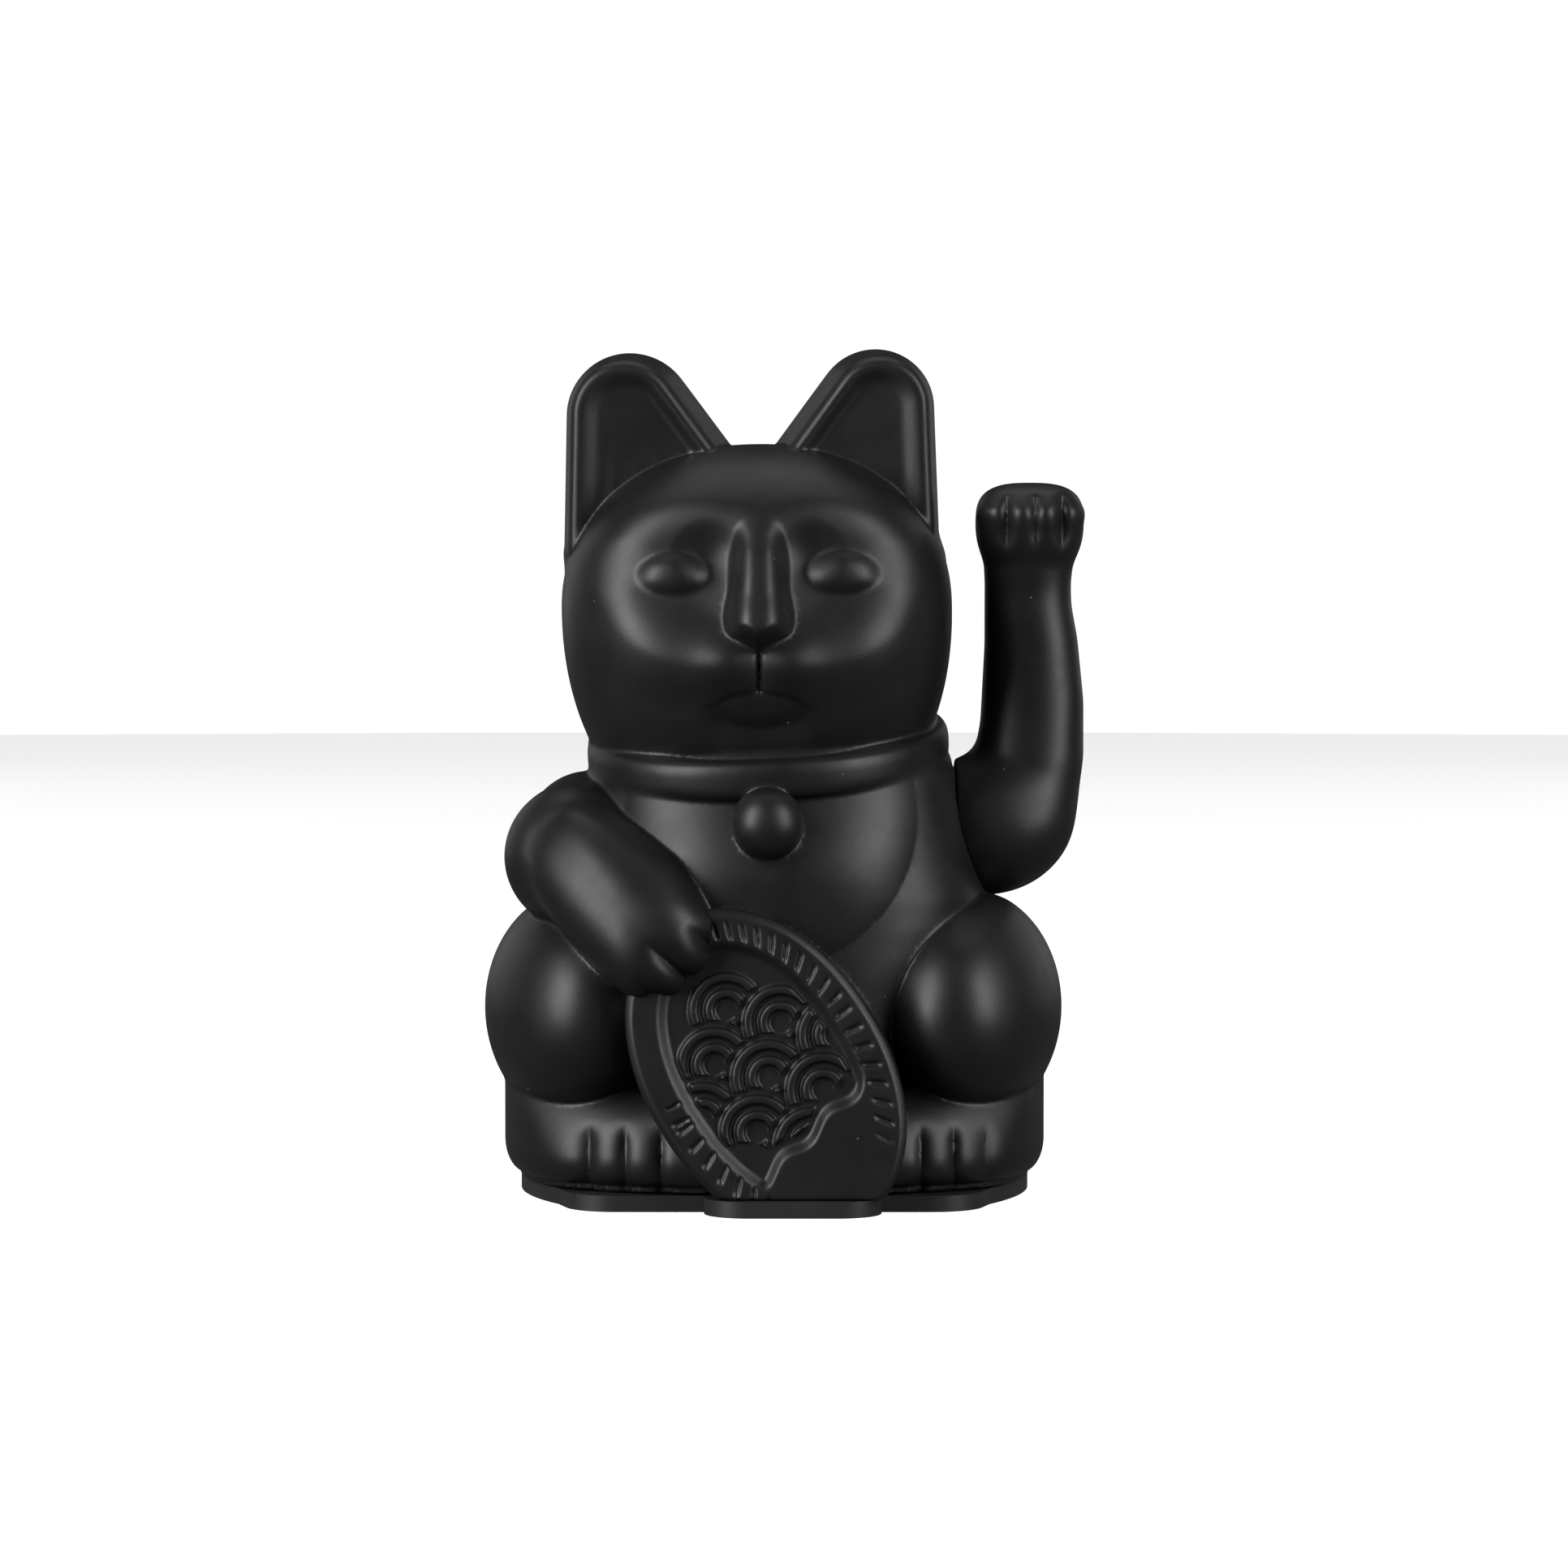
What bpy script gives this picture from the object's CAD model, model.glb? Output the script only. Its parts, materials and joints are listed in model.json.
"""Looks of the beckoning cat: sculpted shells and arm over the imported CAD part, in matte black plastic.

Shapes are signed distance fields in millimetres, meshed here and scaled to metres. +Z is up, the cat
faces -Y, and +X is the side of the raised arm.
"""

import bmesh
import bpy
import json
import math
import numpy as np
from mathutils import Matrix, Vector


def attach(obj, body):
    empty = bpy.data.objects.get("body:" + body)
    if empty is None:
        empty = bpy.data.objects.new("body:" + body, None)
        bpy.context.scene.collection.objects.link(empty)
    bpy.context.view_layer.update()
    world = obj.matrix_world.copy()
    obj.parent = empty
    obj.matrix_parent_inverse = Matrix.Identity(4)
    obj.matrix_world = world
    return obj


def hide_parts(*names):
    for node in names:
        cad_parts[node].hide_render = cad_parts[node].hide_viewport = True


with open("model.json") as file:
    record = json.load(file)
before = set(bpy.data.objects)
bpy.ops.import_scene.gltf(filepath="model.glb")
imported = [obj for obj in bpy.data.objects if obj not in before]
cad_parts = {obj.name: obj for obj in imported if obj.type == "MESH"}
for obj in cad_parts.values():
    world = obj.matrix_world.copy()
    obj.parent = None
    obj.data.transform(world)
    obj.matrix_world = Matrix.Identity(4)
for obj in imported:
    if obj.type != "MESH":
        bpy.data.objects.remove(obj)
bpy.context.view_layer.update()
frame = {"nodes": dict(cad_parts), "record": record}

MM = 0.001
FOOT_Z = 3.1  # underside of the shells
PIVOT_Z = 65.0  # the arm's axle, along X at y = 0

# Meshing: grid step, reach of the exact samples round the surface, and triangles kept
BODY_MESH = (0.5, 2.6, 310000)
COIN_MESH = (0.3, 3.0, 150000)
ARM_MESH = (0.36, 2.2, 150000)
COARSE = 4  # grid steps between the rough samples
SETTLE_ROUNDS = 2
SHARP_FROM = 55  # degrees

# Walls
WALL = 2.0
THINNEST_WALL = 0.8
ARM_WALL = 1.3


# ---- distance-field helpers: p is (x, y, z) arrays ----


def turn(about, degrees):
    """Rows are the local axes of a frame turned about X, Y or Z."""
    c, s = math.cos(math.radians(degrees)), math.sin(math.radians(degrees))
    rows = {
        "x": ((1, 0, 0), (0, c, s), (0, -s, c)),
        "y": ((c, 0, -s), (0, 1, 0), (s, 0, c)),
        "z": ((c, s, 0), (-s, c, 0), (0, 0, 1)),
    }
    return np.array(rows[about])


def local(p, centre, axes=None):
    d = [p[i] - centre[i] for i in range(3)]
    if axes is None:
        return d
    return [d[0] * row[0] + d[1] * row[1] + d[2] * row[2] for row in axes]


def soft_min(a, b, k):
    h = np.maximum(k - np.abs(a - b), 0) / k
    return np.minimum(a, b) - h * h * k * 0.25


def soft_max(a, b, k):
    return -soft_min(-a, -b, k)


def ramp(t):
    """Smooth step from 0 to 1 as t runs from 0 to 1."""
    t = np.clip(t, 0, 1)
    return t * t * (3 - 2 * t)


def ellipsoid(p, centre, radii, axes=None):
    u, v, w = local(p, centre, axes)
    k0 = np.sqrt((u / radii[0]) ** 2 + (v / radii[1]) ** 2 + (w / radii[2]) ** 2)
    k1 = np.sqrt((u / radii[0] ** 2) ** 2 + (v / radii[1] ** 2) ** 2 + (w / radii[2] ** 2) ** 2)
    return k0 * (k0 - 1) / np.maximum(k1, 1e-6)


def squared(u, v, w, radii, e1, e2):
    """Rounded block: u and w corners are squarer the larger e1 is, and v corners the larger e2 is."""
    pu, pv, pw = (np.abs(c / r) + 1e-6 for c, r in zip((u, v, w), radii))
    s = pu**e1 + pw**e1
    g = (s ** (e2 / e1) + pv**e2) ** (1 / e2)
    inner = s ** (e2 / e1 - 1)
    slopes = (inner * pu ** (e1 - 1) / radii[0], pv ** (e2 - 1) / radii[1], inner * pw ** (e1 - 1) / radii[2])
    return (g - 1) * g ** (e2 - 1) / np.sqrt(sum(c**2 for c in slopes))


def creased(away, depth, wide):
    """Sharp-bottomed crease between two round lobes, away from its middle line."""
    return depth * np.exp(-np.sqrt(away**2 + 0.03) / wide)


def limb(p, start, end, r_start, r_end):
    """Straight limb whose radius changes evenly along it."""
    axis = np.subtract(end, start)
    d = local(p, start)
    t = np.clip((d[0] * axis[0] + d[1] * axis[1] + d[2] * axis[2]) / float(axis @ axis), 0, 1)
    gap = np.sqrt(sum((d[i] - t * axis[i]) ** 2 for i in range(3)))
    return gap - (r_start + (r_end - r_start) * t)


def rounded_box(p, centre, half, radius):
    q = [np.abs(c) - (h - radius) for c, h in zip(local(p, centre), half)]
    outside = np.sqrt(sum(np.maximum(c, 0) ** 2 for c in q))
    return outside + np.minimum(np.maximum(np.maximum(q[0], q[1]), q[2]), 0) - radius


def oval(u, v, a, b, e):
    """Distance to the oval |u/a|^e + |v/b|^e = 1, which is squarer the larger e is."""
    pu = (np.abs(u / a) + 1e-6) ** (e - 1)
    pv = (np.abs(v / b) + 1e-6) ** (e - 1)
    g = np.maximum((pu * np.abs(u / a) + pv * np.abs(v / b)) ** (1 / e), 1e-6)
    return (g - 1) * g ** (e - 1) / np.sqrt((pu / a) ** 2 + (pv / b) ** 2)


def profile(heights, values, soften=7.0):
    """Smooth curve near the given values, as a function of height."""
    z = np.arange(-20, 170, 0.25)
    v = np.interp(z, heights, values)
    n = int(soften / 0.25)
    window = np.hanning(n + 2)
    v = np.convolve(np.pad(v, n, mode="edge"), window / window.sum(), mode="same")[n:-n]
    return lambda at: np.interp(at, z, v).astype(np.float32)


def part_of(f, p, low, high, change):
    """Applies change to the field inside a box only."""
    inside = np.ones(len(f), bool)
    for i in range(3):
        if low[i] is not None:
            inside &= p[i] > low[i]
        if high[i] is not None:
            inside &= p[i] < high[i]
    at = np.nonzero(inside)[0]
    if len(at):
        f[at] = change(f[at], tuple(c[at] for c in p))
    return f


# ---- meshing ----


def spread(values, sizes, ratio):
    """Trilinear upsampling of a coarse grid."""
    for axis in range(3):
        t = np.arange(sizes[axis]) / ratio
        low = np.minimum(t.astype(int), values.shape[axis] - 2)
        shape = [1, 1, 1]
        shape[axis] = -1
        w = (t - low).astype(np.float32).reshape(shape)
        values = np.take(values, low, axis) * (1 - w) + np.take(values, low + 1, axis) * w
    return values


def sample(field, low, high, step, reach):
    """The field on a grid, exact near its surface and rough elsewhere."""
    sizes = [int(math.ceil((high[i] - low[i]) / step)) + 1 for i in range(3)]
    rough = [np.arange((sizes[i] - 1) // COARSE + 2) * step * COARSE + low[i] for i in range(3)]
    grid = np.meshgrid(*rough, indexing="ij")
    coarse = field(tuple(g.ravel().astype(np.float32) for g in grid)).reshape(grid[0].shape)
    values = spread(coarse.astype(np.float32), sizes, COARSE)
    near = np.flatnonzero(np.abs(values) < reach)
    flat = values.ravel()
    for start in range(0, len(near), 600000):
        at = near[start : start + 600000]
        ijk = np.unravel_index(at, sizes)
        flat[at] = field(tuple((low[i] + ijk[i] * step).astype(np.float32) for i in range(3)))
    return flat.reshape(sizes)


def surface_net(values, low, step):
    """Vertices and quads of the zero surface, one vertex for each cell that the surface crosses."""
    inside = values < 0
    count = np.zeros([n - 1 for n in inside.shape], np.int8)
    corners = [(i, j, k) for i in (0, 1) for j in (0, 1) for k in (0, 1)]
    for i, j, k in corners:
        count += inside[i : i + count.shape[0], j : j + count.shape[1], k : k + count.shape[2]]
    cells = np.argwhere((count > 0) & (count < 8))
    ids = np.full(count.shape, -1, np.int32)
    ids[tuple(cells.T)] = np.arange(len(cells))
    at = {c: values[cells[:, 0] + c[0], cells[:, 1] + c[1], cells[:, 2] + c[2]] for c in corners}
    total, crossings = np.zeros((len(cells), 3)), np.zeros(len(cells))
    for c in corners:
        for axis in range(3):
            if c[axis]:
                continue
            other = tuple(v + (i == axis) for i, v in enumerate(c))
            a, b = at[c], at[other]
            crosses = (a < 0) != (b < 0)
            t = np.where(crosses, a / np.where(crosses, a - b, 1), 0)
            point = np.tile(np.array(c, float), (len(cells), 1))
            point[:, axis] += t
            total += point * crosses[:, None]
            crossings += crosses
    vertices = (cells + total / crossings[:, None]) * step + np.array(low)
    quads = []
    for axis in range(3):
        one, two = (axis + 1) % 3, (axis + 2) % 3
        first = [slice(1, -1)] * 3
        second = [slice(1, -1)] * 3
        first[axis], second[axis] = slice(0, -1), slice(1, None)
        a, b = inside[tuple(first)], inside[tuple(second)]
        edges = np.argwhere(a != b)
        out = a[tuple(edges.T)]
        ring = []
        for du, dv in ((0, 0), (1, 0), (1, 1), (0, 1)):
            cell = edges.copy()
            cell[:, one] += du
            cell[:, two] += dv
            ring.append(ids[tuple(cell.T)])
        ring = np.stack(ring, 1)
        ring[~out] = ring[~out][:, ::-1]
        quads.append(ring)
    return vertices, np.concatenate(quads)


def settle(vertices, field, step):
    """Moves vertices on to the exact surface."""
    probe = 0.04
    p = vertices.astype(np.float32)
    for _ in range(SETTLE_ROUNDS):
        for start in range(0, len(p), 400000):
            q = p[start : start + 400000]
            here = field((q[:, 0], q[:, 1], q[:, 2]))
            slope = np.empty_like(q)
            for axis in range(3):
                moved = q.copy()
                moved[:, axis] += probe
                slope[:, axis] = (field((moved[:, 0], moved[:, 1], moved[:, 2])) - here) / probe
            shift = slope * (here / np.maximum((slope**2).sum(1), 0.05))[:, None]
            size = np.sqrt((shift**2).sum(1))
            shift *= np.minimum(1, 0.35 * step / np.maximum(size, 1e-9))[:, None]
            p[start : start + 400000] = q - shift
    return p


def mesh_from(name, vertices, quads):
    mesh = bpy.data.meshes.new(name)
    mesh.vertices.add(len(vertices))
    mesh.vertices.foreach_set("co", (np.asarray(vertices, np.float32) * MM).ravel())
    mesh.loops.add(quads.size)
    mesh.loops.foreach_set("vertex_index", quads.astype(np.int32).ravel())
    mesh.polygons.add(len(quads))
    mesh.polygons.foreach_set("loop_start", np.arange(0, quads.size, quads.shape[1], dtype=np.int32))
    mesh.update(calc_edges=True)
    return mesh


def add_object(name, mesh):
    obj = bpy.data.objects.new(name, mesh)
    bpy.context.scene.collection.objects.link(obj)
    return obj


def thinned(mesh, faces_wanted):
    """Collapses the flattest edges until few enough triangles are left."""
    obj = add_object("thinning", mesh)
    modifier = obj.modifiers.new("thin", "DECIMATE")
    modifier.ratio = min(1.0, faces_wanted / (2 * len(mesh.polygons)))
    graph = bpy.context.evaluated_depsgraph_get()
    result = bpy.data.meshes.new_from_object(obj.evaluated_get(graph))
    bpy.data.objects.remove(obj)
    return result


def half_of(mesh, name, side):
    """The part of a closed mesh with y < 0 (side -1) or y > 0 (side 1), closed by a flat face at y = 0."""
    bm = bmesh.new()
    bm.from_mesh(mesh)
    everything = bm.verts[:] + bm.edges[:] + bm.faces[:]
    outward = (0, -side, 0)
    bmesh.ops.bisect_plane(
        bm, geom=everything, dist=1e-7, plane_co=(0, 0, 0), plane_no=outward, clear_outer=True
    )
    rim = [e for e in bm.edges if e.is_boundary]
    bmesh.ops.triangle_fill(bm, use_beauty=True, use_dissolve=False, edges=rim, normal=outward)
    half = bpy.data.meshes.new(name)
    bm.to_mesh(half)
    bm.free()
    return half


def smooth(mesh):
    mesh.polygons.foreach_set("use_smooth", np.ones(len(mesh.polygons), bool))
    mesh.set_sharp_from_angle(angle=math.radians(SHARP_FROM))
    return mesh


# ---- body ----

TRUNK_Y = 1.0
front_width = profile(
    (0, 20, 28, 33, 38, 43, 48, 53, 58, 67, 72, 75, 77, 79, 82, 92),
    (27, 27, 27.5, 29, 32, 35, 37, 37.5, 36.1, 34.0, 33.1, 32.6, 31.2, 28.5, 26.5, 25),
    4,
)
back_width = profile(
    (0, 20, 40, 53, 60, 67, 72, 75, 78, 81, 84, 92),
    (43, 43, 42, 39, 36.0, 34.2, 33.3, 32.7, 31.2, 28.0, 26.5, 25),
    5,
)
trunk_front = profile(
    (0, 20, 40, 53, 62, 67, 71, 75, 80, 92), (33.5, 34, 34, 33, 32.2, 31.2, 30.3, 28.6, 26, 24)
)
trunk_back = profile((0, 25, 45, 62, 75, 85, 95), (35, 37, 36, 33.5, 30.5, 28, 26))
TRUNK_TOP = 92
BIB_CENTRE = (-0.6, 67.5)
BIB_RADIUS = 25.4
BIB_RISE = 4.8


def foot_inset(z):
    """How far the sides pull in towards the lip at the bottom."""
    t = np.clip((9.6 - z) / 5.4, 0, 1)
    return 2.9 * (1 - np.sqrt(1 - t * t * 0.999))


def trunk(p):
    x, y, z = p
    front = y < TRUNK_Y
    width = front_width(z) + (back_width(z) - front_width(z)) * ramp((y + 12) / 22)
    depth = np.where(front, trunk_front(z), trunk_back(z) - foot_inset(z))
    square = np.where(front, 2.65, 2.3).astype(np.float32)
    f = oval(x, y - TRUNK_Y, width, depth, square)
    away = np.sqrt((x - BIB_CENTRE[0]) ** 2 + (z - BIB_CENTRE[1]) ** 2) / BIB_RADIUS
    bib = BIB_RISE * np.maximum(1 - away**2, 0) ** 0.9 * (1 - 0.62 * ramp((z - 56) / 16))
    f = f - bib * ramp((-y - 6) / 10)
    return soft_max(f, z - TRUNK_TOP, 3)


SKULL = (-3.1, -2.5, 103.6)
SKULL_HALF_WIDTH = 34.5
CROWN, JAW = 28.9, 43  # heights of the head above and below its centre
FACE_DEPTH, NAPE_DEPTH = 31.2, 31.5


def skull(p):
    """Head without its face: squarer than an ellipsoid across, with a jaw that tucks under in front."""
    u, v, w = local(p, SKULL, turn("y", -1.3))
    jaw = JAW - 4.5 * ramp((-v - 4) / 26)
    tall = np.where(w > 0, CROWN, jaw)
    deep = np.where(v < 0, FACE_DEPTH, NAPE_DEPTH)
    return squared(u, w, v, (SKULL_HALF_WIDTH, tall, deep), 2.45, 2.15)


def tilted(x, z, cx, cz, degrees):
    """Position about (cx, cz) in axes turned by some degrees."""
    c, s = math.cos(math.radians(degrees)), math.sin(math.radians(degrees))
    return (x - cx) * c + (z - cz) * s, -(x - cx) * s + (z - cz) * c


def bump(x, z, cx, cz, rx, rz, degrees=0.0):
    """1 at the centre of an oval spot, falling smoothly to 0 at its edge."""
    u, w = tilted(x, z, cx, cz, degrees)
    return np.maximum(1 - (u / rx) ** 2 - (w / rz) ** 2, 0) ** 2.0


NOSE_X = -2.6
nose_crest = profile(
    (97, 100, 102.5, 106, 110, 114, 117, 119, 121, 124),
    (4.8, 5.2, 4.5, 2.7, 1.7, 0.8, -0.4, -1.7, -3.2, -5.5),
    3,
)
nose_width = profile((98, 101.5, 104, 109, 114, 120), (5.0, 5.2, 5.0, 4.5, 4.4, 5.0), 3)
EYES = ((-17.4, 109.6, 6.2, 3.75, 3), (11.9, 109.9, 6.3, 3.8, -3))  # x, z, radii, tilt
EYE_BULGE = 1.9
SOCKET = (10.0, 109.0)  # middle of each eye's bowl, from the nose and up
SOCKET_WIDE, SOCKET_UP, SOCKET_DOWN = 15.5, 12.0, 13.0
SOCKET_DEPTH = 3.7
LIP_RISE = 1.6
GROOVE_DEPTH = 1.2


def face(x, z):
    """Height of the face above the skull."""
    off = np.abs(x - NOSE_X)
    # bowl round each eye, deepest beside the nose
    tall = np.where(z > SOCKET[1], SOCKET_UP, SOCKET_DOWN)
    q = np.sqrt(((off - SOCKET[0]) / SOCKET_WIDE) ** 2 + ((z - SOCKET[1]) / tall) ** 2)
    h = -SOCKET_DEPTH * ramp((1.20 - q) / 1.10)
    h = h - 1.3 * bump(off, z, 7.5, 113.0, 8, 7)
    h = h - 0.35 * bump(off, z, 24.5, 111.0, 7.5, 5.0, -12)
    # cheekbones, from the outer eye round to the muzzle
    h = h + 1.1 * bump(off, z, 17.0, 97.0, 15, 10.5, 18)
    # whisker pads
    h = h + 2.1 * np.exp(-(((off - 5.2) / 5.4) ** 2) - ((z - 94.0) / 4.6) ** 2)
    # lower lip in a hollow under the pads
    lip_top = 89.4 - 0.028 * off**2
    h = h - 1.1 * ramp((lip_top + 0.4 - z) / 1.2) * ramp((11.0 - off) / 5.5) * ramp((z - 77) / 8)
    lip = LIP_RISE * (1 - (off / 9.2) ** 2 - (np.maximum(88.2 - z, 0) / 4.9) ** 2)
    lip = soft_min(lip, LIP_RISE * (lip_top - z), 0.8)
    h = h + soft_max(np.zeros_like(h), soft_min(lip, np.full_like(h, 0.95), 0.8), 0.5)
    # eyes
    for cx, cz, rx, rz, tilt in EYES:
        u, w = tilted(x, z, cx, cz, tilt)
        ring = np.sqrt((u / rx) ** 2 + (w / rz) ** 2)
        h = h + soft_max(np.zeros_like(h), EYE_BULGE * (1 - np.minimum(ring, 2) ** 2.2), 0.55)
    # nose: a soft ridge from the brows down to a broad tip cut to a V below
    width = nose_width(z)
    ridge = nose_crest(z) - 4.4 * np.minimum(off / width, 1) ** 2.9 - 2.6 * np.maximum(off - width, 0)
    vee = z - (96.2 + 0.60 * off + 0.02 * off**2)
    h = soft_max(h, soft_min(ridge, 0.8 + 1.35 * vee, 1.6), 1.0 + 1.6 * ramp((z - 106) / 12))
    # groove from the nose to the mouth
    width = 0.22 + 0.035 * np.clip(96.5 - z, 0, 8)
    groove = np.exp(-np.abs(x - NOSE_X) / width) * ramp((96.6 - z) / 0.6) * ramp((z - 88.9) / 0.8)
    return h - GROOVE_DEPTH * groove


EAR_TIPS = {-1: (-25.5, 137.4, 11.3), 1: (17.8, 138.9, 10.5)}  # x, z, radius
# outward direction of each ear's two straight sides
EAR_SIDES = {-1: ((-1.0, 0.019), (0.803, 0.596)), 1: ((-0.808, 0.589), (0.9992, 0.039))}
EAR_FRONT, EAR_BACK = -11.8, 4.8
EAR_FOOT_Z = 108
EAR_RIM = 1.7


def ear(p, side):
    """Thick ear with a round tip and a rounded rim about a hollow field, narrower in front than behind."""
    x, y, z = p
    cx, cz, radius = EAR_TIPS[side]
    forward = np.clip((0.5 - y) / 12.3, 0, 1.2)
    u, w = x - cx - side * 0.9 * forward, z - cz
    reach, beyond_tip = None, True
    for nx, nz in EAR_SIDES[side]:
        across = u * nx + w * nz
        reach = across if reach is None else np.maximum(reach, across)
        down = (nz, -nx) if nx > 0 else (-nz, nx)
        beyond_tip &= u * down[0] + w * down[1] < 0
    outline = np.where(beyond_tip, np.sqrt(u**2 + w**2), reach) - radius
    outline = outline + 2.1 * forward**1.4 + 2.2 * ramp((114.0 - z) / 6)
    inset = np.maximum(-outline, 0)
    rim = EAR_RIM * (1 - np.sqrt(1 - 0.999 * np.clip(1 - inset / EAR_RIM, 0, 1) ** 2))
    outer = ramp(side * u / 18 + 0.5)
    field = (1.7 - 0.9 * outer) * ramp((inset - 1.2) / (3.4 + 1.2 * outer))
    front = EAR_FRONT + rim + field + 0.2 * ramp(inset / 9) - y
    back = y - EAR_BACK + 2.0 * np.clip((z - 120) / 30, 0, 1) ** 2
    f = soft_max(outline, front, 0.9)
    f = soft_max(f, back, 4.0)
    return soft_max(f, EAR_FOOT_Z - z, 1.0)


COLLAR_CENTRE = (-1.1, -1.2, 78.9)
COLLAR_AXES = turn("y", -2.6) @ turn("x", 8.6)
COLLAR_RADII = (29.3, 30.2)
COLLAR_SECTION = (2.75, 3.5)  # half of its thickness and height


def collar(p):
    u, v, w = local(p, COLLAR_CENTRE, COLLAR_AXES)
    across = oval(u, v, *COLLAR_RADII, 2.15)
    return oval(across, w, *COLLAR_SECTION, 2.9)


BELL = (-1.1, -36.2, 67.0)
BELL_RADII = (6.25, 6.25, 6.25)
BELL_CORE = (6.0, 6.0, 6.0)  # fills the bell, just under its surface


HAUNCH_RADII = (17.0, 28.6, 21.0)


def haunch(p, side):
    return ellipsoid(p, (side * 33.9 - 0.2, -6, 33.0), HAUNCH_RADII, turn("z", -side * 8.0))


TOE_CREASES = {-1: (-31.9, -25.6, -19.4), 1: (25.2, 31.0, 36.8)}
FOOT_TOP = 20.9
FOOT_PLAN = (48.1, 42.5, 2.8)


def foot(p, side):
    """Foot that rounds in towards the toes, with creases between them, and ends in the trunk behind."""
    x, y, z = p
    plan = oval(x, y - 6, *FOOT_PLAN) + foot_inset(z)
    plan = soft_max(plan, 9.0 - side * x, 4.0)
    plan = plan + 12.0 * ramp((y + 2) / 26)
    crease = np.zeros_like(x)
    for number, crease_x in enumerate(TOE_CREASES[side]):
        first = (number == 0) if side < 0 else (number == 2)
        away = side * (x - crease_x)
        wide = np.where(away > 0, 2.1 if first else 1.15, 1.1)
        depth = 1.55 if first else 1.2
        crease = crease + depth * np.exp(-np.abs(away) / wide) * ramp((15.6 - z + 0.15 * np.abs(away)) / 4.2)
    plan = plan + crease * ramp((-y - 24) / 6)
    return soft_max(plan, z - FOOT_TOP, 1.0 + 14.0 * ramp((-y - 12) / 18))


SHOULDER = (-34.3, -14.5, 60.2)
PAW = (-23.3, -33.3, 49.9)
PAW_AXES = turn("z", 24) @ np.array(((0.70, 0, -0.71), (0, -1, 0), (-0.71, 0, -0.70)))
PAW_CREASES = (6.3, -0.5, -6.6)


def low_arm(p):
    """Lowered arm: round shoulder, forearm down to the coin, and a paw with four fingers."""
    f = limb(p, SHOULDER, (-22.9, -29.0, 51.9), 12.2, 11.0)
    f = soft_min(f, limb(p, (-32.6, -3.0, 63.0), SHOULDER, 11.7, 12.2), 3.0)
    u, v, w = local(p, PAW, PAW_AXES)
    paw = squared(u, v, w, (np.where(u > 0, 14.4, 25.0), 9.9, 10.8), 2.7, 2.1)
    for number, middle in enumerate(PAW_CREASES):
        start = 6.5 if number == 1 else 8.5
        paw = paw + creased(w + middle, 2.3, 1.25) * ramp((u - start) / 4.5)
    return soft_min(f, paw, 3.0)


def tail(p):
    """Short tail that curls against the back."""
    u, v, w = local(p, (9.0, 36.0, 15.5), turn("x", 6))
    angle = np.arctan2(w, u)
    ring = np.sqrt((np.sqrt(u**2 + w**2) - 8.5) ** 2 + v**2) - (3.0 + 0.5 * np.sin(angle))
    root = limb(p, (0, 30, 8), (4.5, 37.0, 8.4), 5, 3.6)
    return soft_min(ring, root, 2.0)


def coin_back(p):
    """Plain body of the coin behind its relief, a little inside its edge."""
    x, y, z = p
    f = oval(*coin_frame(x, z), COIN_HALF[0] - 0.5, COIN_HALF[1] - 0.5, COIN_SQUARE)
    return np.maximum(f, np.maximum(-35.5 - y, y + 18))


def outer_skin(p):
    """Outside of both body shells, without the coin's relief."""
    f = trunk(p)

    def add(shape, k):
        """Joins a shape to the field with a fillet of size k."""
        return lambda g, q: soft_min(g, shape(q), k)

    for side in (-1, 1):
        x0, x1 = (None, -6) if side < 0 else (6, None)
        f = part_of(f, p, (x0, None, None), (x1, None, 62), add(lambda q: haunch(q, side), 0.6))
        f = part_of(f, p, (x0, None, None), (x1, 20, 30), add(lambda q: foot(q, side), 0.6))
    f = part_of(f, p, (None, None, 25), (0, 20, 88), add(low_arm, 0.7))
    f = part_of(f, p, (-12, None, 55), (10, -22, 78), add(lambda q: ellipsoid(q, BELL, BELL_RADII), 0.6))

    def add_head(g, q):
        x, y, z = q
        h = skull(q)
        at = np.nonzero((y < -4) & (z < 132) & (z > 74))[0]
        if len(at):
            h[at] -= face(x[at], z[at]) * ramp((-y[at] - 6) / 9)
        for side in (-1, 1):
            h = soft_min(h, ear(q, side), 0.5 + 3.0 * ramp((120 - z) / 9) * ramp((y + 5) / 6))
        return soft_min(g, h, 1.0)

    f = part_of(f, p, (None, None, 68), (None, None, None), add_head)
    f = part_of(f, p, (None, None, 66), (None, None, 96), add(collar, 1.1))
    f = part_of(f, p, (-12, 18, None), (30, None, 40), add(tail, 1.6))
    f = part_of(f, p, (-26, None, None), (24, -14, 60), lambda g, q: np.minimum(g, coin_back(q)))
    from_axle = np.sqrt(p[1] ** 2 + (p[2] - PIVOT_Z) ** 2)
    pocket = np.maximum(from_axle - POCKET_RADIUS, POCKET_FLOOR_X - p[0])
    return soft_max(f, -pocket, 0.35)


POCKET_RADIUS = 13.2
POCKET_FLOOR_X = 31.4
AXLE_HOLE_RADIUS = 3.0

# Clearances inside the body: centre and half size
BAY_ROOM = ((-0.9, -18.5, 5.0), (30.0, 9.4, 14.0))
PENDULUM_ROOM = ((18.5, -9.0, 25.0), (6.8, 15.5, 7.0))

# Screw posts: x, y, and the x at which each rib ends in the wall
POST_RADIUS, POST_TOP = 3.2, 15
PILOT_RADIUS, PILOT_TOP = 1.3, 13
RIB_Z, RIB_HALF_THICK, RIB_HALF_HEIGHT = 9.0, 0.8, 4.0
SCREW_POSTS = ((-30.0, -4.0, -46.5), (33.5, -4.5, 46.5), (-22.0, 22.0, -33.2), (21.5, 26.3, 25.0))


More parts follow.
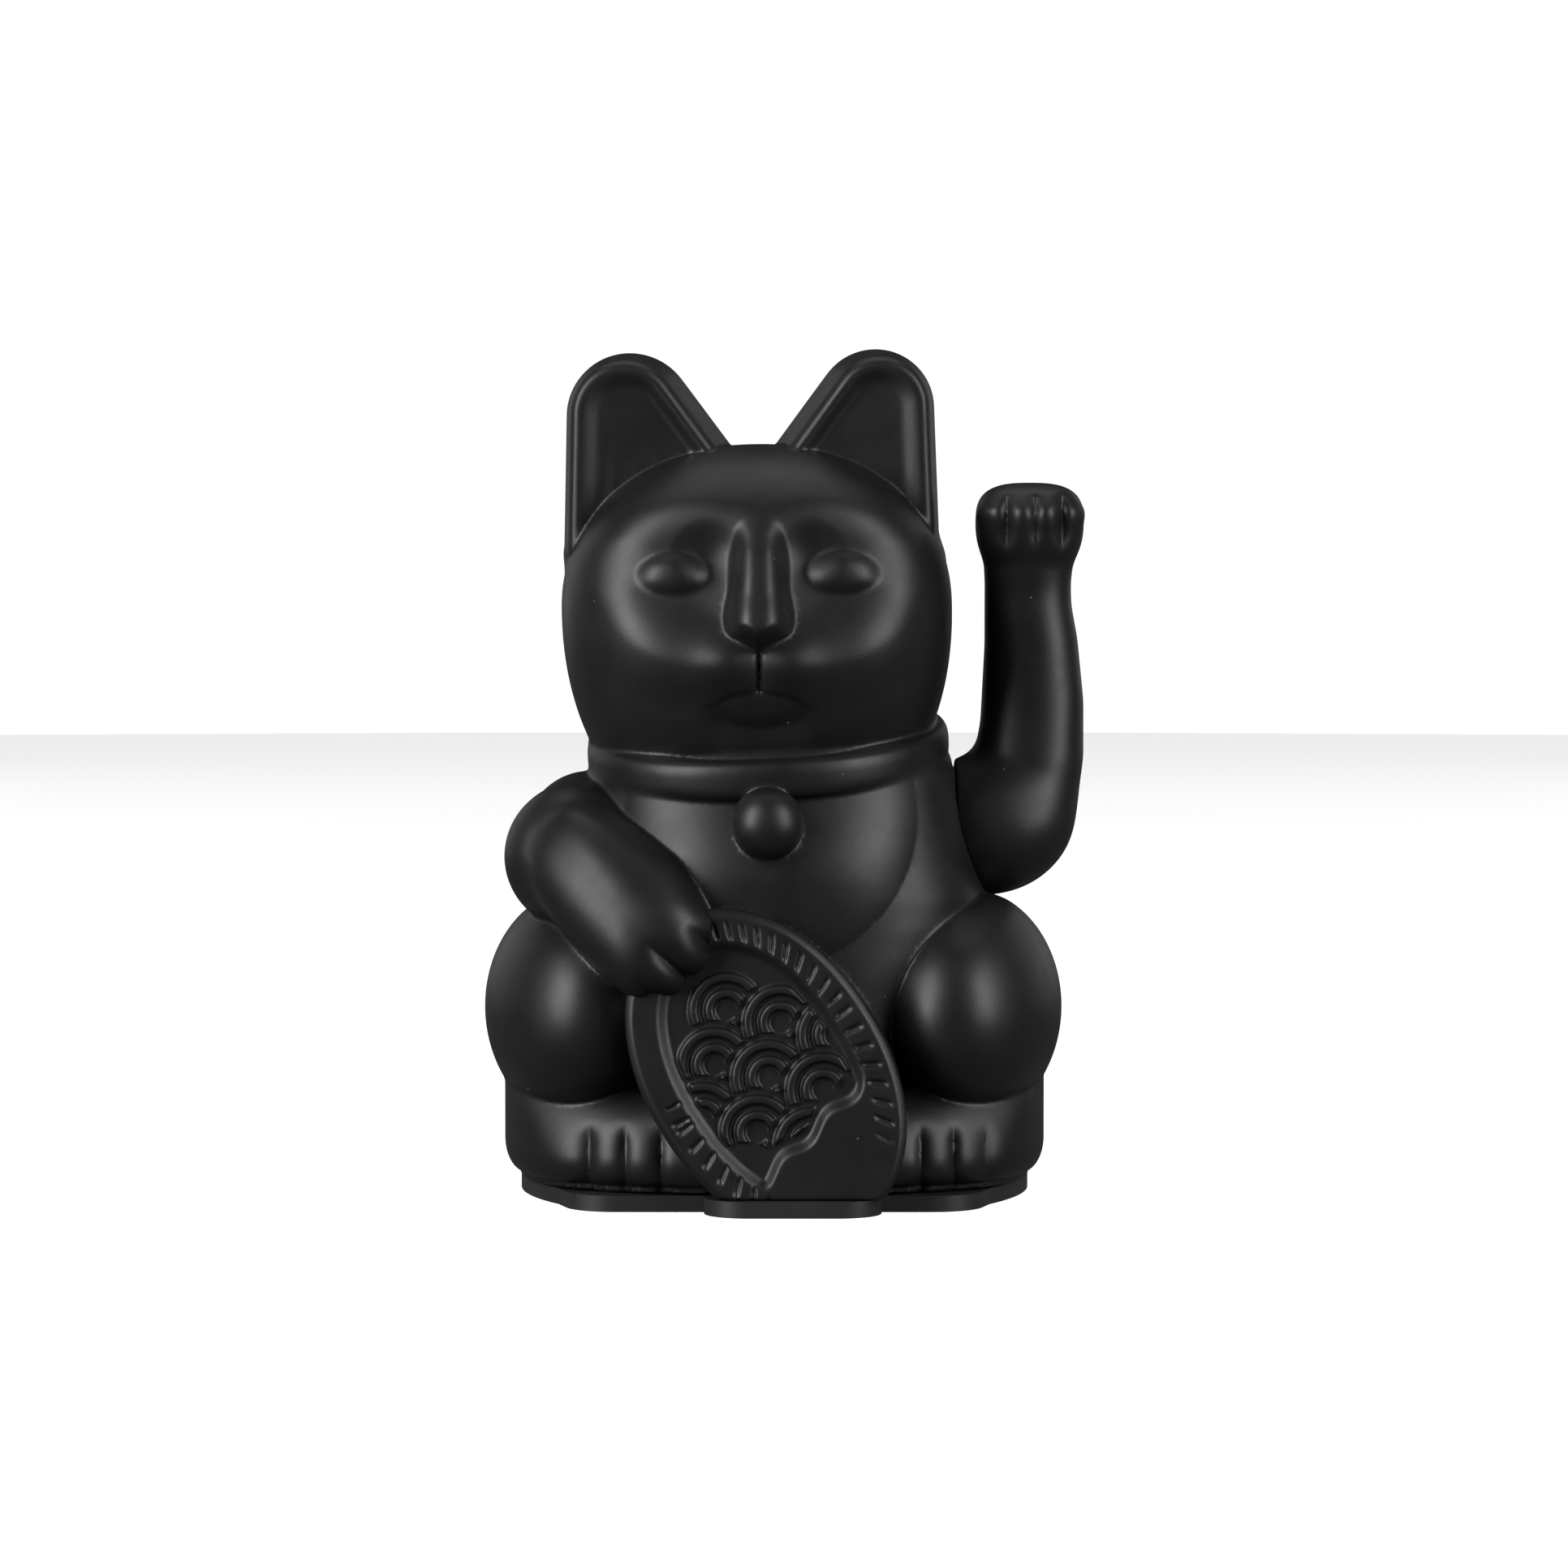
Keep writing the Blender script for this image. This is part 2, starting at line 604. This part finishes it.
def body_shell(p):
    """Shell with an even wall, open below, with four screw posts and room for battery bay and pendulum."""
    x, y, z = p
    skin = outer_skin(p)
    bay = rounded_box(p, *BAY_ROOM, 0.5)
    pendulum = rounded_box(p, *PENDULUM_ROOM, 0.5)
    hollow = np.minimum(np.minimum(skin + WALL, bay), pendulum)
    f = np.maximum(skin, -np.maximum(hollow, skin + THINNEST_WALL))

    def fill_bell(g, q):
        return np.minimum(g, ellipsoid(q, BELL, BELL_CORE))

    f = part_of(f, p, (-9, -44, 59), (7, -28, 75), fill_bell)
    from_axle = np.sqrt(y**2 + (z - PIVOT_Z) ** 2)
    f = np.maximum(f, -np.maximum(from_axle - AXLE_HOLE_RADIUS, np.abs(x - 30) - 4))
    for post_x, post_y, wall_x in SCREW_POSTS:
        low, high = (post_x - 4, post_y - 4, None), (post_x + 4, post_y + 4, 17)

        def add_post(g, q):
            away = np.sqrt((q[0] - post_x) ** 2 + (q[1] - post_y) ** 2)
            post = np.maximum(away - POST_RADIUS, q[2] - POST_TOP)
            pilot = np.maximum(away - PILOT_RADIUS, q[2] - PILOT_TOP)
            return np.maximum(np.minimum(g, post), -pilot)

        def add_rib(g, q):
            middle = (post_x + wall_x) / 2
            half = (abs(wall_x - post_x) / 2, RIB_HALF_THICK, RIB_HALF_HEIGHT)
            return np.minimum(g, rounded_box(q, (middle, post_y, RIB_Z), half, 0.2))

        rib_low = (min(post_x, wall_x) - 1, post_y - 2, 4)
        rib_high = (max(post_x, wall_x) + 1, post_y + 2, 14)
        f = part_of(f, p, rib_low, rib_high, add_rib)
        f = part_of(f, p, low, high, add_post)
    return np.maximum(f, FOOT_Z - z)


# ---- raised arm ----

ARM_FACE_X = 32.0
arm_inner = profile(
    (50, 62, 66, 70, 74.5, 77, 83.5, 97, 108, 115, 120),
    (29, 29, 29.5, 31, 34.2, 35.5, 36.6, 37.3, 37.3, 36.9, 36.6),
    4,
)
arm_outer = profile(
    (50, 58, 63, 70, 76.8, 87, 98, 104, 108, 115, 120),
    (50.0, 50.5, 52.0, 54.0, 54.9, 54.9, 53.8, 52.7, 52.6, 53.4, 53.8),
    5,
)
arm_depth = profile((50, 65, 78, 90, 106, 114, 120), (10.5, 10.5, 8.6, 7.6, 6.9, 7.3, 7.6), 6)
MITTEN = (45.2, -1.5, 119.3)
FINGER_CREASES = (40.8, 45.8, 50.6)
ARM_HUB_RADIUS = 4.0


def arm_skin(p):
    """Round shoulder, forearm and a curled paw with four fingers."""
    x, y, z = p
    inner, outer = arm_inner(z), arm_outer(z)
    f = oval(x - (inner + outer) / 2, y + 1.2 * ramp((z - 104) / 14), (outer - inner) / 2, arm_depth(z), 2.15)
    f = soft_max(f, 60 - z, 9.0)
    f = soft_max(f, z - 122, 6.0)
    f = soft_min(f, ellipsoid(p, (37.0, 0, PIVOT_Z - 0.1), (15.4, 12.4, 12.4)), 4.0)
    tall = 6.4 + 2.4 * ramp((121.0 - z) / 4)
    mitten = squared(*local(p, MITTEN), (9.5, 9.4, tall), 2.8, 2.0)
    # creases between the fingers, from the knuckles to under the curled fingertips
    fade = ramp((124.2 - z) / 3.6) * ramp((z - 112.6) / 5.0) * ramp((-y - 2) / 4)
    mitten = mitten - 0.9 * fade * np.exp(-(((z - 120.2) / 2.8) ** 2))
    for middle in FINGER_CREASES:
        mitten = mitten + creased(x - middle, 2.1, 1.05) * fade
    f = soft_min(f, mitten, 2.0)
    return soft_max(f, ARM_FACE_X - x, 0.5)


def arm_shell(p):
    """Thin hollow arm with a round opening for the hub."""
    x, y, z = p
    skin = arm_skin(p)
    f = np.maximum(skin, -(skin + ARM_WALL))
    hub = np.sqrt(y**2 + (z - PIVOT_Z) ** 2) - ARM_HUB_RADIUS
    return np.maximum(f, -np.maximum(hub, x - 34.5))


# ---- coin ----

COIN = (-1.4, 24.6)
COIN_HALF = (20.6, 30.0)
COIN_SQUARE = 2.1
COIN_LEAN = 32.5  # degrees
COIN_BACK_Y = -26.5
FIELD_DEPTH = 1.5
RIM_RISE = 0.45
RIB_DEPTH = 0.5
WAVE_RISE = 0.9
WAVE_PITCH, WAVE_ROW = 13.4, 6.8
WAVE_RINGS = (5.6, 2.9)


def coin_frame(x, z):
    """Across and up the coin's long axis."""
    c, s = math.cos(math.radians(COIN_LEAN)), math.sin(math.radians(COIN_LEAN))
    u, w = x - COIN[0], z - COIN[1]
    return u * c + w * s, -u * s + w * c


def waves(a, b):
    """Distance to the middle of raised lines: rows of nested half rings, a common wave ornament."""
    best = np.full_like(a, 99.0)
    for row in range(-3, 4):
        for column in range(-2, 3):
            middle_a, middle_b = (column + 0.5 * (row % 2)) * WAVE_PITCH, row * WAVE_ROW - 1.0
            if (middle_a / 14.5) ** 2 + (middle_b / 19.0) ** 2 > 1:
                continue
            u, v = a - middle_a, b - middle_b
            r = np.sqrt(u**2 + v**2)
            hidden = v < -WAVE_ROW
            for du in (-0.5 * WAVE_PITCH, 0.5 * WAVE_PITCH):
                hidden |= np.sqrt((u - du) ** 2 + (v + WAVE_ROW) ** 2) < 0.5 * WAVE_PITCH + 0.9
            for ring in WAVE_RINGS:
                best = np.where(hidden, best, np.minimum(best, np.abs(r - ring)))
    return best


def coin(p):
    """Leaning oval coin: ribbed rim, sunk field with waves, and a plain lower end."""
    x, y, z = p
    a, b = coin_frame(x, z)
    edge = oval(a, b, *COIN_HALF, COIN_SQUARE)
    inset = -edge
    front = -37.9 - 0.055 * (45 - z)
    along = np.arctan2(b / COIN_HALF[1], a / COIN_HALF[0])
    plain = b + 13.2 - 0.22 * a + 0.8 * np.cos(a * 0.6)
    sunk = ramp((inset - 5.2) / 2.6) * ramp((plain + 1.0) / 2.2)
    height = RIM_RISE * ramp((inset - 0.3) / 1.2) - FIELD_DEPTH * sunk
    # short ribs across both long sides of the rim
    arc = along * 26.0
    right = ramp((along + 0.95) / 0.1) * ramp((1.5 - along) / 0.1)
    left = ramp((np.abs(along) - 2.2) / 0.1) * (b < 4)
    phase = np.abs(((arc / np.where(b < 4, 3.6, 3.1)) % 1.0) - 0.5) * 2
    cut = ramp((0.5 - phase) / 0.46) * ramp((inset - 1.8) / 1.2) * ramp((6.0 - inset) / 1.4)
    height = height - RIB_DEPTH * cut * np.clip(right + left, 0, 1)
    # wave ornament in the field
    lines = waves(a, b)
    inside = ramp((inset - 7.6) / 1.0) * ramp((plain - 1.8) / 1.0)
    height = height + WAVE_RISE * ramp((1.1 - lines) / 0.7) * inside
    f = soft_max(edge, front - height - y, 1.2)
    f = np.maximum(f, y - COIN_BACK_Y)
    return np.maximum(f, FOOT_Z - z)


# ---- build the pieces ----


def sculpt(name, field, low, high, step, reach, wanted):
    """Mesh of a field's surface within a box."""
    values = sample(field, low, high, step, reach)
    vertices, quads = surface_net(values, low, step)
    vertices = settle(vertices, field, step)
    return thinned(mesh_from(name, vertices, quads), wanted)


body_mesh = sculpt("body", body_shell, (-53, -47, 2.1), (55, 44, 152), *BODY_MESH)
coin_mesh = sculpt("coin", coin, (-26, -44, 2.1), (26, -25.5, 58), *COIN_MESH)
arm_mesh = sculpt("arm", arm_shell, (31, -17, 50), (57.5, 15, 128), *ARM_MESH)

# Each piece: mesh, body it rides, node it stands for, material slot
PIECES = {
    "cat_front": (half_of(body_mesh, "cat_front", -1), "cat_body", "front_shell", "body_plastic"),
    "cat_rear": (half_of(body_mesh, "cat_rear", 1), "cat_body", "rear_shell", "body_plastic"),
    "coin_relief": (coin_mesh, "cat_body", "front_shell", "body_plastic"),
    "paw_front": (half_of(arm_mesh, "paw_front", -1), "waving_arm", "arm_front_half", "body_plastic"),
    "paw_rear": (half_of(arm_mesh, "paw_rear", 1), "waving_arm", "arm_rear_half", "body_plastic"),
}


# ---- materials ----

GRAIN_SCALE = 4200.0
GRAIN_DEPTH = 0.00004
DUST_COLOUR = (0.22, 0.22, 0.21)


def node_tools(name):
    material = bpy.data.materials.new(name)
    material.use_nodes = True
    nodes, links = material.node_tree.nodes, material.node_tree.links
    return material, nodes, links, nodes["Principled BSDF"]


def noise(nodes, links, coordinates, scale, detail=3.0):
    texture = nodes.new("ShaderNodeTexNoise")
    texture.inputs["Scale"].default_value = scale
    texture.inputs["Detail"].default_value = detail
    links.new(coordinates, texture.inputs["Vector"])
    return texture.outputs["Fac"]


def spread_between(nodes, links, source, low, high, from_low=0.3, from_high=0.7):
    node = nodes.new("ShaderNodeMapRange")
    for key, value in (("From Min", from_low), ("From Max", from_high), ("To Min", low), ("To Max", high)):
        node.inputs[key].default_value = value
    links.new(source, node.inputs["Value"])
    return node.outputs["Result"]


def mixed(nodes, links, factor, first, second):
    node = nodes.new("ShaderNodeMix")
    node.data_type = "RGBA"
    for socket, colour in ((node.inputs["A"], first), (node.inputs["B"], second)):
        if isinstance(colour, tuple):
            socket.default_value = (*colour, 1)
        else:
            links.new(colour, socket)
    links.new(factor, node.inputs["Factor"])
    return node.outputs["Result"]


def plastic(name, dark, light, rough, dust=0.0):
    """Moulded plastic: slight colour and gloss variation, fine grain, and a little dust."""
    material, nodes, links, shader = node_tools(name)
    where = nodes.new("ShaderNodeTexCoord").outputs["Object"]
    shade = spread_between(nodes, links, noise(nodes, links, where, 90), 0, 1)
    colour = mixed(nodes, links, shade, dark, light)
    if dust:
        cells = nodes.new("ShaderNodeTexVoronoi")
        cells.inputs["Scale"].default_value = 420
        links.new(where, cells.inputs["Vector"])
        speck = spread_between(nodes, links, cells.outputs["Distance"], 1, 0, 0.04, 0.09)
        chosen = nodes.new("ShaderNodeMath")
        chosen.operation = "GREATER_THAN"
        chosen.inputs[1].default_value = 1 - dust
        pick = nodes.new("ShaderNodeSeparateColor")
        links.new(cells.outputs["Color"], pick.inputs["Color"])
        links.new(pick.outputs["Red"], chosen.inputs[0])
        both = nodes.new("ShaderNodeMath")
        both.operation = "MULTIPLY"
        links.new(speck, both.inputs[0])
        links.new(chosen.outputs["Value"], both.inputs[1])
        colour = mixed(nodes, links, both.outputs["Value"], colour, DUST_COLOUR)
    links.new(colour, shader.inputs["Base Color"])
    gloss = spread_between(nodes, links, noise(nodes, links, where, 160, 4), *rough)
    links.new(gloss, shader.inputs["Roughness"])
    bumped = nodes.new("ShaderNodeBump")
    bumped.inputs["Strength"].default_value = 0.35
    bumped.inputs["Distance"].default_value = GRAIN_DEPTH
    links.new(noise(nodes, links, where, GRAIN_SCALE, 2), bumped.inputs["Height"])
    links.new(bumped.outputs["Normal"], shader.inputs["Normal"])
    return material


def metal(name, dark, light, rough, scale=900.0):
    """Bare metal with slight colour and gloss variation."""
    material, nodes, links, shader = node_tools(name)
    where = nodes.new("ShaderNodeTexCoord").outputs["Object"]
    shade = spread_between(nodes, links, noise(nodes, links, where, scale), 0, 1)
    links.new(mixed(nodes, links, shade, dark, light), shader.inputs["Base Color"])
    gloss = spread_between(nodes, links, noise(nodes, links, where, scale * 2), *rough)
    links.new(gloss, shader.inputs["Roughness"])
    shader.inputs["Metallic"].default_value = 1.0
    return material


BLACK = plastic("black_plastic", (0.0055, 0.0055, 0.0058), (0.0078, 0.0078, 0.0081), (0.41, 0.48), dust=0.02)
SLOT_MATERIALS = {
    "body_plastic": BLACK,
    "base_plastic": plastic("base_plastic", (0.013, 0.013, 0.0135), (0.018, 0.018, 0.0185), (0.47, 0.56)),
    "drive_plastic": plastic("drive_plastic", (0.62, 0.61, 0.57), (0.7, 0.69, 0.65), (0.4, 0.5)),
    "bobbin_plastic": plastic("bobbin_plastic", (0.05, 0.05, 0.055), (0.08, 0.08, 0.085), (0.45, 0.55)),
    "component_black": plastic("component_black", (0.02, 0.02, 0.02), (0.03, 0.03, 0.03), (0.4, 0.5)),
    "capacitor_can": plastic("capacitor_can", (0.02, 0.03, 0.12), (0.03, 0.04, 0.16), (0.25, 0.32)),
    "resistor_body": plastic("resistor_body", (0.5, 0.4, 0.25), (0.6, 0.5, 0.33), (0.4, 0.5)),
    "board_laminate": plastic("board_laminate", (0.35, 0.22, 0.08), (0.45, 0.3, 0.12), (0.4, 0.5)),
    "lead_red": plastic("lead_red", (0.38, 0.02, 0.015), (0.46, 0.03, 0.02), (0.35, 0.42)),
    "lead_black": plastic("lead_black", (0.014, 0.014, 0.014), (0.02, 0.02, 0.02), (0.35, 0.42)),
    "cell_wrap": plastic("cell_wrap", (0.05, 0.1, 0.07), (0.07, 0.13, 0.09), (0.25, 0.33)),
    "spring_steel": metal("spring_steel", (0.5, 0.5, 0.51), (0.62, 0.62, 0.63), (0.25, 0.35)),
    "contact_metal": metal("contact_metal", (0.6, 0.59, 0.56), (0.68, 0.67, 0.64), (0.2, 0.3)),
    "axle_steel": metal("axle_steel", (0.5, 0.5, 0.51), (0.6, 0.6, 0.61), (0.15, 0.22)),
    "magnet": metal("magnet", (0.5, 0.5, 0.5), (0.6, 0.6, 0.6), (0.2, 0.3)),
    "weight_steel": metal("weight_steel", (0.36, 0.36, 0.37), (0.46, 0.46, 0.47), (0.35, 0.5)),
    "bush_brass": metal("bush_brass", (0.6, 0.42, 0.16), (0.7, 0.52, 0.24), (0.25, 0.35)),
    "copper_wire": metal("copper_wire", (0.55, 0.22, 0.09), (0.68, 0.3, 0.14), (0.3, 0.4), 2500),
    "screw_steel": metal("screw_steel", (0.4, 0.4, 0.4), (0.5, 0.5, 0.5), (0.25, 0.35)),
}

for name, (mesh, body, node, slot) in PIECES.items():
    obj = add_object(name, smooth(mesh))
    obj.data.materials.append(SLOT_MATERIALS[slot])
    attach(obj, body)
    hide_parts(node)

record_slots = {part["node"]: part["material_slot"] for part in frame["record"]["subparts"]}
for node, obj in frame["nodes"].items():
    obj.data.materials.clear()
    obj.data.materials.append(SLOT_MATERIALS[record_slots[node]])


# ---- stage, lights and camera ----


def paint(name, shade, glow):
    material, nodes, links, shader = node_tools(name)
    where = nodes.new("ShaderNodeTexCoord").outputs["Object"]
    mix = spread_between(nodes, links, noise(nodes, links, where, 3), 0, 1)
    colour = mixed(nodes, links, mix, (shade,) * 3, (shade + 0.03,) * 3)
    links.new(colour, shader.inputs["Base Color"])
    shader.inputs["Roughness"].default_value = 0.8
    shader.inputs["Specular IOR Level"].default_value = 0.2
    shader.inputs["Emission Color"].default_value = (1, 1, 1, 1)
    shader.inputs["Emission Strength"].default_value = glow
    return material


def surface_of_rows(name, rows, material, closed):
    """Round stage surface: rows of (radius, height) turned about Z, with the middle closed or open."""
    turns = 64
    points = [
        (r * math.cos(2 * math.pi * k / turns), r * math.sin(2 * math.pi * k / turns), z)
        for r, z in rows
        for k in range(turns)
    ]
    faces = []
    for row in range(len(rows) - 1):
        for k in range(turns):
            one, two = row * turns + k, row * turns + (k + 1) % turns
            faces.append((one, two, two + turns, one + turns))
    if closed:
        faces.append(tuple(range(turns)))
    mesh = bpy.data.meshes.new(name)
    mesh.from_pydata(points, [], faces)
    obj = add_object(name, smooth(mesh))
    obj.data.materials.append(material)
    return obj


def stage():
    """Pale floor that curves up into a low round wall; the floor throws no glare on the object."""
    flat = [(0.15, 0), (0.6, 0), (1.4, 0), (2.4, 0)]
    floor = surface_of_rows("floor", flat, paint("floor_paint", 0.8, 0.8), closed=True)
    angles = np.linspace(0, math.pi / 2, 12)
    bend = [(2.4 + 0.8 * math.sin(a), 0.8 - 0.8 * math.cos(a)) for a in angles]
    wall = surface_of_rows("wall", bend + [(3.2, 3.0)], paint("wall_paint", 0.8, 1.0), closed=False)
    for obj in (floor, wall):
        obj.visible_glossy = False
        obj.visible_diffuse = False
        obj.data.materials[0].cycles.emission_sampling = "NONE"


def softbox(name, place, target, size, watts):
    light = bpy.data.lights.new(name, "AREA")
    light.shape = "RECTANGLE"
    light.size, light.size_y = size
    light.energy = watts
    obj = bpy.data.objects.new(name, light)
    obj.location = place
    direction = Vector(target) - Vector(place)
    obj.rotation_euler = direction.to_track_quat("-Z", "Y").to_euler()
    bpy.context.scene.collection.objects.link(obj)


stage()
softbox("left_box", (-0.80, -0.58, 0.44), (0, 0, 0.09), (0.40, 0.95), 12.0)
softbox("right_box", (0.80, -0.54, 0.44), (0, 0, 0.09), (0.40, 0.95), 7.8)
softbox("top_box", (0.0, 0.35, 1.3), (0, 0, 0.05), (1.2, 0.8), 3.0)
softbox("rim_left", (-1.1, 1.3, 0.5), (0, 0, 0.08), (1.2, 1.0), 2.0)
softbox("rim_right", (1.1, 1.3, 0.5), (0, 0, 0.08), (1.2, 1.0), 2.0)

world = bpy.data.worlds.new("studio")
world.use_nodes = True
sky = world.node_tree.nodes
height = sky.new("ShaderNodeSeparateXYZ")
world.node_tree.links.new(sky.new("ShaderNodeTexCoord").outputs["Generated"], height.inputs["Vector"])
glow = spread_between(sky, world.node_tree.links, height.outputs["Z"], 0.11, 0.02, -0.35, 0.1)
world.node_tree.links.new(glow, sky["Background"].inputs["Strength"])
sky["Background"].inputs["Color"].default_value = (0.96, 0.98, 1, 1)
bpy.context.scene.world = world
bpy.context.scene.view_settings.view_transform = "Standard"

CAMERA_PLACE = Vector((0.0017, -0.9, 0.112))
CAMERA_TARGET = Vector((0.0017, 0, 0.0723))
camera_data = bpy.data.cameras.new("camera")
camera_data.sensor_width = 36
camera_data.lens = 116.3
camera = bpy.data.objects.new("camera", camera_data)
camera.location = CAMERA_PLACE
aim = CAMERA_TARGET - CAMERA_PLACE
camera.rotation_euler = aim.to_track_quat("-Z", "Y").to_euler()
bpy.context.scene.collection.objects.link(camera)
bpy.context.scene.camera = camera
